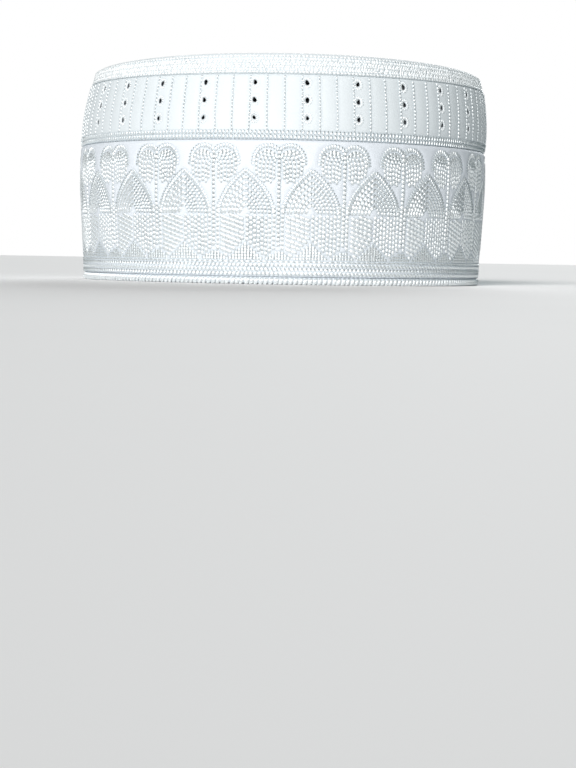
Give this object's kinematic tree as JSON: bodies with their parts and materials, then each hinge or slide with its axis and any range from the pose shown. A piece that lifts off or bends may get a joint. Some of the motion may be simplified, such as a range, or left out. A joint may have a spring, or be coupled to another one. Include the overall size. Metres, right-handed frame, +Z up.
{
  "type": "kufi",
  "caption": "Round brimless embroidered kufi with an upright band, a pierced upper band and a flat oval crown.",
  "frame": {"origin": "middle of the rim's oval, on the plane that the rim rests on", "axes": "+Z up to the crown, -Y to the front, +Y to the back, +X to the wearer's left"},
  "size_m": [0.1796, 0.198, 0.0933],
  "materials": {
    "band_satin": "satin",
    "silk_thread": "satin",
    "edge_stitching": "matte",
    "crown_cloth": "matte"
  },
  "bodies": {
    "root": {"rim_binding": "silk_thread", "lower_band": "band_satin", "upper_band": "band_satin", "crown_edge": "edge_stitching", "crown": "crown_cloth"}
  },
  "joints": []
}
